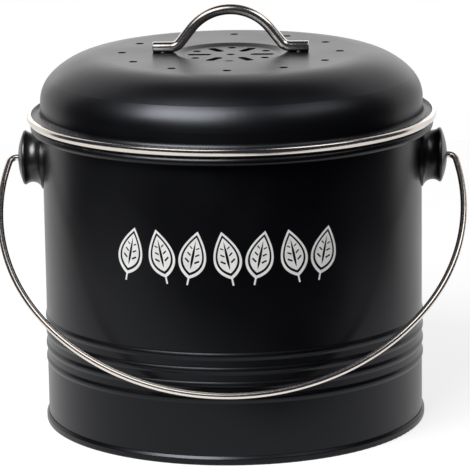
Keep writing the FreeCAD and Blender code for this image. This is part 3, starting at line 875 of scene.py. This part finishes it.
@dataclass
class LeafBench(NodeBench):
    """A bench that draws flat leaves in a row with geometry nodes and wraps the row round a wall."""

    seal: float = 0.002 * MM
    outline_points: int = 56
    tip_power: float = 2.0
    belly: float = 0.2
    tip_inset: float = 2.9
    blade_inset: float = 1.85
    rib_width: float = 1.1
    rib_length: float = 0.6
    stalk: Strip = Strip(width=0.75, length=0.14, start=-0.63)
    vein: Strip = Strip(width=0.75, length=0.11, start=0.07)
    vein_count: int = 3
    vein_lean: float = 0.95
    vein_first: float = -0.2
    vein_step: float = 0.15
    vein_shrink: float = -0.16
    given: NodeOutputs = field(init=False)

    def __post_init__(self) -> None:
        """Start the tree with its inputs and its output."""
        tree = bpy.data.node_groups.new("leaf_row", "GeometryNodeTree")
        kinds = {"Leaf Count": "NodeSocketInt", "Ink": "NodeSocketMaterial"}
        for name in (*PRINT_SIZES, *kinds):
            kind = kinds.get(name, "NodeSocketFloat")
            tree.interface.new_socket(name, in_out="INPUT", socket_type=kind)
        tree.interface.new_socket("Geometry", in_out="OUTPUT", socket_type="NodeSocketGeometry")
        super().__init__(tree)
        self.given = self.add("NodeGroupInput").outputs

    def along(self, share: float) -> Socket:
        """A step along the leaf, as a share of its length."""
        return self.xyz(y=self.times(self.given["Leaf Length"], share))

    def axes(self) -> NodeOutputs:
        """The three values of a point's place."""
        place = self.out("GeometryNodeInputPosition")
        return self.add("ShaderNodeSeparateXYZ", {0: place}).outputs

    def outline(self, length: Socket, width: Socket) -> Socket:
        """A closed leaf outline round the origin.

        Args:
            length: The leaf's length.
            width: The leaf's width.

        Returns:
            The outline curve.
        """
        axes = self.axes()
        circle = {"Resolution": self.outline_points, "Radius": 1.0}
        swell = self.maths("POWER", self.maths("ABSOLUTE", axes[0]), self.tip_power)
        sided = self.times(self.maths("SIGN", axes[0]), swell)
        across = self.times(sided, self.times(width, 0.5))
        sunk = self.maths("MULTIPLY_ADD", self.maths("POWER", axes[0], 2.0), -self.belly, axes[1])
        along = self.times(sunk, self.times(length, 0.5))
        return self.out("GeometryNodeSetPosition", {
            "Geometry": self.out("GeometryNodeCurvePrimitiveCircle", circle),
            "Position": self.xyz(x=across, y=along),
        })

    def inset(self, lines: float) -> Socket:
        """The leaf's outline moved inwards.

        Args:
            lines: How far, in widths of the printed line.

        Returns:
            The outline curve.
        """
        line = self.given["Line Width"]
        length = self.maths("MULTIPLY_ADD", line, -self.tip_inset * lines, self.given["Leaf Length"])
        width = self.maths("MULTIPLY_ADD", line, -2.0 * lines, self.given["Leaf Width"])
        return self.outline(length, width)

    def edge(self, strip: Strip) -> Socket:
        """The edge of a strip, as a closed curve.

        Args:
            strip: The strip.

        Returns:
            The curve.
        """
        width = self.times(self.given["Line Width"], strip.width)
        length = self.times(self.given["Leaf Length"], strip.length)
        shape = self.out("GeometryNodeCurvePrimitiveQuadrilateral", {"Width": width, "Height": length})
        lift = self.along(strip.start + strip.length / 2)
        return self.out("GeometryNodeTransform", {"Geometry": shape, "Translation": lift})

    def veins(self) -> list[Socket]:
        """The edges of the side veins, which are slits in the blade, for both sides.

        Returns:
            The edges.
        """
        vein = self.edge(self.vein)
        spots = self.out("GeometryNodeMeshLine", {
            "Count": self.vein_count,
            "Start Location": self.along(self.vein_first),
            "Offset": self.along(self.vein_step),
        })
        shrink = self.maths("MULTIPLY_ADD", self.out("GeometryNodeInputIndex"), self.vein_shrink, 1.0)
        sides = []
        for lean in (self.vein_lean, -self.vein_lean):
            spread = {"Points": spots, "Instance": vein, "Rotation": (0.0, 0.0, lean), "Scale": shrink}
            row = self.out("GeometryNodeInstanceOnPoints", spread)
            sides.append(self.out("GeometryNodeRealizeInstances", {0: row}))
        return sides

    def leaf(self) -> Socket:
        """One leaf, flat, with its outline, stalk and slit blade.

        Returns:
            The leaf.
        """
        rib_length = self.times(self.given["Leaf Length"], self.rib_length)
        rib = self.outline(rib_length, self.times(self.given["Line Width"], self.rib_width))
        edges = [self.inset(lines) for lines in (0.0, 1.0, self.blade_inset)]
        nested = self.join(*edges, rib, *self.veins())
        blade = self.out("GeometryNodeFillCurve", {"Curve": nested})
        fine = self.out("GeometryNodeSubdivideMesh", {"Mesh": blade, "Level": 1})
        return self.join(fine, self.out("GeometryNodeFillCurve", {"Curve": self.edge(self.stalk)}))

    def row(self) -> Socket:
        """The leaves in a flat row, leaning left and right in turn.

        Returns:
            The row.
        """
        pitch, count = self.given["Pitch"], self.given["Leaf Count"]
        reach = self.times(self.maths("SUBTRACT", count, 1.0), pitch)
        spots = self.out("GeometryNodeMeshLine", {
            "Count": count,
            "Start Location": self.xyz(x=self.times(reach, -0.5)),
            "Offset": self.xyz(x=pitch),
        })
        odd = self.maths("MODULO", self.out("GeometryNodeInputIndex"), 2.0)
        lean = self.times(self.maths("MULTIPLY_ADD", odd, 2.0, -1.0), self.given["Tilt"])
        turn = self.xyz(z=lean)
        spread = {"Points": spots, "Instance": self.leaf(), "Rotation": turn}
        leaves = self.out("GeometryNodeInstanceOnPoints", spread)
        return self.out("GeometryNodeRealizeInstances", {0: leaves})

    def wrapped(self) -> Socket:
        """Where a point of the flat row lands on the round wall.

        Returns:
            The new place.
        """
        axes, wall = self.axes(), self.given["Wall Radius"]
        turn = self.maths("DIVIDE", axes[0], wall)
        radius = self.maths("ADD", wall, axes[2])
        right = self.times(radius, self.maths("SINE", turn))
        back = self.times(radius, self.times(self.maths("COSINE", turn), -1.0))
        up = self.maths("ADD", axes[1], self.given["Height"])
        return self.xyz(x=right, y=back, z=up)

    def finished(self) -> NodeTree:
        """The whole tree, from the flat row to the sealed layer of ink on the wall.

        Returns:
            The tree.
        """
        flat = self.row()
        raised = self.out("GeometryNodeExtrudeMesh", {
            "Mesh": flat,
            "Offset": (0.0, 0.0, 1.0),
            "Offset Scale": self.given["Ink Thickness"],
            "Individual": False,
        })
        layer = self.join(raised, self.out("GeometryNodeFlipFaces", {"Mesh": flat}))
        sealed = self.out("GeometryNodeMergeByDistance", {"Geometry": layer, "Distance": self.seal})
        laid = self.out("GeometryNodeSetPosition", {"Geometry": sealed, "Position": self.wrapped()})
        inked = self.out("GeometryNodeSetMaterial", {"Geometry": laid, "Material": self.given["Ink"]})
        self.feed(self.add("NodeGroupOutput").inputs[0], inked)
        return self.tree


@dataclass
class LeafPrint:
    """A row of leaves printed on the front of the pail, each a veined blade inside an outline."""

    finish: PrintInk
    count: int = 7
    pitch: float = 17.0 * MM
    length: float = 25.0 * MM
    width: float = 14.2 * MM
    line: float = 1.2 * MM
    tilt: float = math.radians(12.0)
    height: float = 109.3 * MM
    ink: float = 0.06 * MM

    def build(self) -> Object:
        """The print as a plain mesh that rides on the pail.

        Returns:
            The piece.
        """
        wall = wall_radius("body_shell", self.height)
        sizes = (self.length, self.width, self.line, self.pitch, self.tilt, self.ink, wall, self.height)
        values = dict(zip(PRINT_SIZES, sizes))
        values |= {"Leaf Count": self.count, "Ink": self.finish.material()}
        tree = LeafBench().finished()
        holder = linked("leaf_row_maker", bpy.data.meshes.new("leaf_row_maker"))
        modifier = holder.modifiers.new("leaf_row", "NODES")
        modifier.node_group = tree
        for item in tree.interface.items_tree:
            if item.item_type == "SOCKET" and item.in_out == "INPUT":
                modifier[item.identifier] = values[item.name]
        ready = holder.evaluated_get(bpy.context.evaluated_depsgraph_get())
        mesh = bpy.data.meshes.new_from_object(ready)
        bpy.data.objects.remove(holder)
        mesh.name = "leaf_print"
        piece = new_piece(mesh, self.finish)
        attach(piece, "pail")
        return piece


@dataclass
class FilterPad:
    """The needled felt disc that fills the space of the charcoal filter."""

    finish: CarbonFelt
    rings: int = 26
    around: int = 144
    softness: float = 0.3 * MM
    ripple: float = 140.0
    edge_round: float = 1.6 * MM
    edge_steps: int = 4

    def profile(self, radius: float, thickness: float) -> list[Point]:
        """The section of the pad, from its middle out over the rounded edge.

        Args:
            radius: The pad's radius.
            thickness: The pad's thickness.

        Returns:
            Points as distance from the axis and share of the thickness.
        """
        inner = radius - self.edge_round
        points = [(inner * (i + 1) / self.rings, 1.0) for i in range(self.rings)]
        for i in range(1, self.edge_steps + 1):
            turn = QUARTER_TURN * i / self.edge_steps
            drop = self.edge_round * (1.0 - math.cos(turn)) / thickness
            points.append((inner + self.edge_round * math.sin(turn), 1.0 - drop))
        return points

    def ring(self, radius: float, share: float) -> list[Vector]:
        """One ring of the pad's surface, sunk a little here and there.

        Args:
            radius: The ring's radius before it sinks.
            share: Its height as a share of the thickness.

        Returns:
            The ring's points.
        """
        low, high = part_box("charcoal_filter")
        level = low.z + (high.z - low.z) * share
        points = []
        for i in range(self.around):
            turn = FULL_TURN * i / self.around
            flat = Vector((radius * math.cos(turn), radius * math.sin(turn), 0.0))
            wave = noise.noise((flat + Vector((0.0, 0.0, share))) * self.ripple)
            sink = self.softness * (0.5 + 0.5 * wave)
            inward = 1.0 - sink / high.x
            points.append(Vector((flat.x * inward, flat.y * inward, level + (0.5 - share) * 2.0 * sink)))
        return points

    def build(self) -> Object:
        """The pad as a soft piece that stands for its CAD solid.

        Returns:
            The piece.
        """
        low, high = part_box("charcoal_filter")
        upper = self.profile(high.x, high.z - low.z)
        section = upper + [(radius, 1.0 - share) for radius, share in reversed(upper)]
        rings = [self.ring(radius, share) for radius, share in section]
        sunk = self.softness / 2
        peaks = (Vector((0.0, 0.0, high.z - sunk)), Vector((0.0, 0.0, low.z + sunk)))
        piece = new_piece(skin_rings("filter_pad", rings, peaks=peaks), self.finish)
        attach(piece, "lid")
        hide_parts("charcoal_filter")
        return piece


@dataclass
class Pail:
    """The ribbed pail with its ears, their hardware and the print."""

    paint: PowderCoat
    ear_plastic: MouldedPlastic
    zinc: ZincPlate
    leaf_print: LeafPrint

    def build(self) -> None:
        """Dress the pail's nodes and print the leaves on it."""
        dress(("body_shell", "base_plate"), self.paint)
        dress(("ear_right", "ear_left"), self.ear_plastic)
        dress(EAR_HARDWARE, self.zinc)
        LOG.info("%s: printed on the wall", self.leaf_print.build().name)


@dataclass
class Bail:
    """The wire bail."""

    wire: BailWire

    def build(self) -> None:
        """Bend the smooth wire."""
        LOG.info("%s: hung in the ears", self.wire.build().name)


@dataclass
class InnerBucket:
    """The lift-out bucket."""

    plastic: MouldedPlastic

    def build(self) -> None:
        """Dress the bucket."""
        dress(("inner_bucket",), self.plastic)


@dataclass
class Lid:
    """The vented lid with its band, handle and filter."""

    paint: PowderCoat
    band: RimBand
    bar: HandleBar
    zinc: ZincPlate
    holder_plastic: MouldedPlastic
    pad: FilterPad

    def build(self) -> None:
        """Dress the lid's nodes and put its band, bar and felt pad in place."""
        dress(("lid_shell",), self.paint)
        dress(HANDLE_HARDWARE, self.zinc)
        dress(("filter_holder",), self.holder_plastic)
        for part in (self.band, self.bar, self.pad):
            LOG.info("%s: put in place", part.build().name)


class LampRole(Enum):
    """What a soft lamp does in the studio."""

    KEY = "key"
    FILL = "fill"
    BACK = "back"
    GLINT = "glint"
    PLAIN = "plain"


class LampScope(Enum):
    """Which finishes a lamp serves; REST is every finish that it doesn't name."""

    ALL = ()
    BLACK = ("pail_black", "lid_black", "ear_black")
    STEEL = ("wire_steel", "band_steel", "bar_steel")
    REST = BLACK + STEEL

    def pieces(self) -> Collection | None:
        """Gather the pieces that a lamp of this scope is linked to.

        Returns:
            The pieces that it lights, or for REST leaves out, or None if it lights all.
        """
        if not self.value:
            return None
        chosen = bpy.data.collections.new(f"lamp_scope_{self.name.lower()}")
        for piece in bpy.context.scene.objects:
            if any(slot.material and slot.material.name in self.value for slot in piece.material_slots):
                chosen.objects.link(piece)
        for entry in chosen.collection_objects:
            entry.light_linking.link_state = "EXCLUDE" if self is LampScope.REST else "INCLUDE"
        return chosen


@dataclass(frozen=True)
class LampPlace:
    """Where a lamp hangs round the bin, in degrees and metres, and how large its face is."""

    azimuth: float
    elevation: float
    distance: float
    width: float
    height: float

    def way(self) -> Vector:
        """The way from the bin to the lamp."""
        around, up = math.radians(self.azimuth), math.radians(self.elevation)
        return Vector((math.sin(around) * math.cos(up), -math.cos(around) * math.cos(up), math.sin(up)))


@dataclass(frozen=True)
class SoftLamp:
    """A soft rectangular lamp that faces the bin."""

    role: LampRole
    place: LampPlace
    watts: float
    scope: LampScope = LampScope.ALL

    def build(self, target: Vector) -> Object:
        """Hang the lamp.

        Args:
            target: The point that it faces.

        Returns:
            The lamp.
        """
        way = self.place.way()
        data = bpy.data.lights.new(f"{self.role.value}_lamp", "AREA")
        data.shape = "RECTANGLE"
        data.size, data.size_y = self.place.width, self.place.height
        data.energy = self.watts
        lamp = linked(data.name, data)
        lamp.light_linking.receiver_collection = self.scope.pieces()
        lamp.location = target + way * self.place.distance
        lamp.rotation_mode = "QUATERNION"
        lamp.rotation_quaternion = (-way).to_track_quat("-Z", "Y")
        lamp.visible_camera = False
        return lamp


KEY_PLACE = LampPlace(azimuth=-32.0, elevation=45.5, distance=1.15, width=0.8, height=0.66)
FILL_PLACE = LampPlace(azimuth=58.0, elevation=47.0, distance=1.2, width=0.75, height=0.5)
BACK_PLACE = LampPlace(azimuth=180.0, elevation=16.0, distance=1.3, width=1.6, height=0.5)


def stage_piece(name: str, mesh: Mesh, cover: str) -> tuple[Object, NodeBench, Socket]:
    """An object of the studio with a material that has no surface yet.

    Args:
        name: The object's name.
        mesh: Its mesh.
        cover: The material's name.

    Returns:
        The object, a bench on the material's tree and the material's surface socket.
    """
    material = bpy.data.materials.new(cover)
    material.use_nodes = True
    mesh.materials.append(material)
    nodes = material.node_tree.nodes
    nodes.remove(nodes["Principled BSDF"])
    return linked(name, mesh), NodeBench(material.node_tree), nodes["Material Output"].inputs["Surface"]


@dataclass
class Studio:
    """Pale floor, black screen, soft lamps and the white behind them."""

    floor_corners: tuple[Point, ...] = (
        (-0.46, -0.30), (-0.20, -0.33), (-0.03, -0.28), (0.06, -0.185),
        (0.42, -0.13), (0.42, 0.75), (-0.46, 0.75),
    )
    floor_colour: Colour = (0.34, 0.34, 0.345)
    floor_lift: float = 0.77
    ambient: float = 0.3
    white: float = 1.0
    screen_radius: float = 1.6
    screen_facets: tuple[int, int] = (72, 36)
    screen_half_angle: float = math.radians(113.0)
    screen_lintel: float = math.radians(54.0)
    screen_foot: float = math.radians(-88.0)
    screen_glow: Colour = (0.028, 0.031, 0.044)
    target: Vector = field(default_factory=lambda: Vector((0.0, 0.0, 0.12)))
    lamps: tuple[SoftLamp, ...] = (
        SoftLamp(LampRole.KEY, KEY_PLACE, watts=39.0, scope=LampScope.BLACK),
        SoftLamp(LampRole.GLINT, KEY_PLACE, watts=3.0, scope=LampScope.STEEL),
        SoftLamp(LampRole.PLAIN, KEY_PLACE, watts=14.0, scope=LampScope.REST),
        SoftLamp(LampRole.FILL, FILL_PLACE, watts=3.8, scope=LampScope.BLACK),
        SoftLamp(LampRole.GLINT, FILL_PLACE, watts=2.6, scope=LampScope.STEEL),
        SoftLamp(LampRole.BACK, BACK_PLACE, watts=1.6),
    )

    def build(self) -> None:
        """Set up the whole studio."""
        bpy.context.scene.view_settings.view_transform = "Standard"
        self.build_world()
        self.build_floor()
        self.build_screen()
        for lamp in self.lamps:
            lamp.build(self.target)

    def build_world(self) -> None:
        """White to the eye and in reflections, a plain level as light."""
        world = bpy.data.worlds.new("studio_white")
        bpy.context.scene.world = world
        world.use_nodes = True
        bench = NodeBench(world.node_tree)
        strength = bench.between(bench.seen(), self.ambient, self.white)
        back = world.node_tree.nodes["Background"]
        back.inputs["Color"].default_value = rgba((1.0, 1.0, 1.0))
        bench.feed(back.inputs["Strength"], strength)

    def build_floor(self) -> Object:
        """A pale paper floor that ends a little before the bin.

        Returns:
            The floor.
        """
        mesh = bpy.data.meshes.new("paper_floor")
        corners = [(x, y, 0.0) for x, y in self.floor_corners]
        mesh.from_pydata(corners, [], [tuple(range(len(corners)))])
        floor, bench, surface = stage_piece("paper_floor", mesh, "paper_white")
        paper = bench.out("ShaderNodeBsdfDiffuse", {"Color": rgba(self.floor_colour)})
        glow = bench.out("ShaderNodeEmission", {"Strength": bench.times(bench.seen(), self.floor_lift)})
        bench.feed(surface, bench.out("ShaderNodeAddShader", {0: paper, 1: glow}))
        return floor

    def build_screen(self) -> Object:
        """A black cloth round the front and over the top that only reflections see.

        Returns:
            The screen.
        """
        shape = bmesh.new()
        round_facets, up_facets = self.screen_facets
        bmesh.ops.create_uvsphere(
            shape, u_segments=round_facets, v_segments=up_facets, radius=self.screen_radius)
        spare = []
        for face in shape.faces:
            middle = face.calc_center_median()
            around = abs(math.atan2(middle.x, -middle.y))
            up = math.asin(max(-1.0, min(1.0, middle.z / middle.length)))
            if up < self.screen_foot or (around > self.screen_half_angle and up < self.screen_lintel):
                spare.append(face)
        bmesh.ops.delete(shape, geom=spare, context="FACES")
        mesh = bpy.data.meshes.new("black_screen")
        shape.to_mesh(mesh)
        shape.free()
        screen, bench, surface = stage_piece("black_screen", mesh, "black_cloth")
        bench.feed(surface, bench.out("ShaderNodeEmission", {"Color": rgba(self.screen_glow)}))
        screen.visible_camera = False
        screen.visible_diffuse = False
        screen.visible_shadow = False
        return screen


@dataclass(frozen=True)
class PhotoCamera:
    """The camera at the photograph's place, worked out from measured outlines."""

    distance: float = 1.669696
    height: float = 0.476655
    frame_pixels: float = 470.0
    focal_pixels: float = 3222.4
    pitch: float = 0.22348
    yaw: float = 0.000524
    roll: float = -0.01419
    turn: float = math.radians(2.0)
    nearest: float = 0.05
    farthest: float = 20.0

    def build(self) -> Object:
        """Set the camera up and make it the scene's own.

        Returns:
            The camera.
        """
        level = math.cos(self.pitch)
        ahead = Vector((math.sin(self.yaw) * level, math.cos(self.yaw) * level, -math.sin(self.pitch)))
        right = ahead.cross(Vector((0.0, 0.0, 1.0))).normalized()
        up = right.cross(ahead)
        right, up = (
            right * math.cos(self.roll) + up * math.sin(self.roll),
            up * math.cos(self.roll) - right * math.sin(self.roll),
        )
        around = Matrix.Rotation(self.turn, 4, "Z")
        pose = Matrix.Identity(4)
        for column, way in enumerate((right, up, -ahead)):
            pose.col[column] = (*way, 0.0)
        pose.translation = Vector((0.0, -self.distance, self.height))
        data = bpy.data.cameras.new("photo_camera")
        data.lens = self.focal_pixels / self.frame_pixels * data.sensor_width
        data.clip_start, data.clip_end = self.nearest, self.farthest
        camera = linked("photo_camera", data)
        camera.matrix_world = around @ pose
        bpy.context.scene.camera = camera
        return camera


def round_edge(name: str, height: float, reach: float) -> RoundEdge:
    """The outer edge of a turned CAD node at one height."""
    _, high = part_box(name)
    return RoundEdge(high.y, height, reach)


def main() -> None:
    """Dress the bin, print it, and set up the studio and the camera."""
    logging.basicConfig(level=logging.INFO, format="%(message)s")
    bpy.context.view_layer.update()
    black: Colour = (0.0003, 0.0003, 0.0004)
    steel: Colour = (0.82, 0.755, 0.69)
    _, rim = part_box("body_shell")
    worn = (round_edge("body_shell", rim.z, reach=1.2 * MM), round_edge("base_plate", 0.0, reach=1.0 * MM))
    zinc = ZincPlate("zinc_plate", (0.62, 0.63, 0.64), roughness=0.28)
    ear_plastic = MouldedPlastic(
        "ear_black", (0.002, 0.002, 0.0022), roughness=0.34, haze=(0.003, 0.003, 0.0033), sheen=0.45)
    Pail(
        PowderCoat("pail_black", black, roughness=0.31, edges=worn),
        ear_plastic,
        zinc,
        LeafPrint(PrintInk("white_ink", (0.86, 0.86, 0.85), roughness=0.4)),
    ).build()
    bail_low, bail_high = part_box("bail_handle")
    middle = tuple((bail_low + bail_high) / 2)
    fall = Vector((0.0, bail_low.y - bail_high.y, bail_low.z - bail_high.z)).normalized()
    axis = tuple(Vector((1.0, 0.0, 0.0)).cross(fall))
    Bail(BailWire(PolishedSteel("wire_steel", steel, roughness=0.2, centre=middle, axis=axis))).build()
    bucket_plastic = MouldedPlastic(
        "bucket_grey_black", (0.03, 0.03, 0.032), roughness=0.5, haze=(0.036, 0.036, 0.038))
    InnerBucket(bucket_plastic).build()
    band_low, band_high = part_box("lid_rim_band")
    band_middle = (0.0, 0.0, (band_high.z + band_low.z) / 2)
    bar_low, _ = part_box("lid_handle")
    bar_foot = (0.0, 0.0, bar_low.z)
    Lid(
        PowderCoat("lid_black", black, roughness=0.34),
        RimBand(PolishedSteel("band_steel", (0.7, 0.645, 0.59), roughness=0.2, centre=band_middle)),
        HandleBar(PolishedSteel("bar_steel", steel, roughness=0.18, centre=bar_foot, axis=(0.0, 1.0, 0.0))),
        zinc,
        MouldedPlastic("holder_black", (0.022, 0.022, 0.024), roughness=0.45, haze=(0.027, 0.027, 0.029)),
        FilterPad(CarbonFelt("carbon_felt", (0.012, 0.012, 0.012), roughness=0.85)),
    ).build()
    Studio().build()
    LOG.info("camera: %s", PhotoCamera().build().name)


if __name__ == "__main__":
    main()
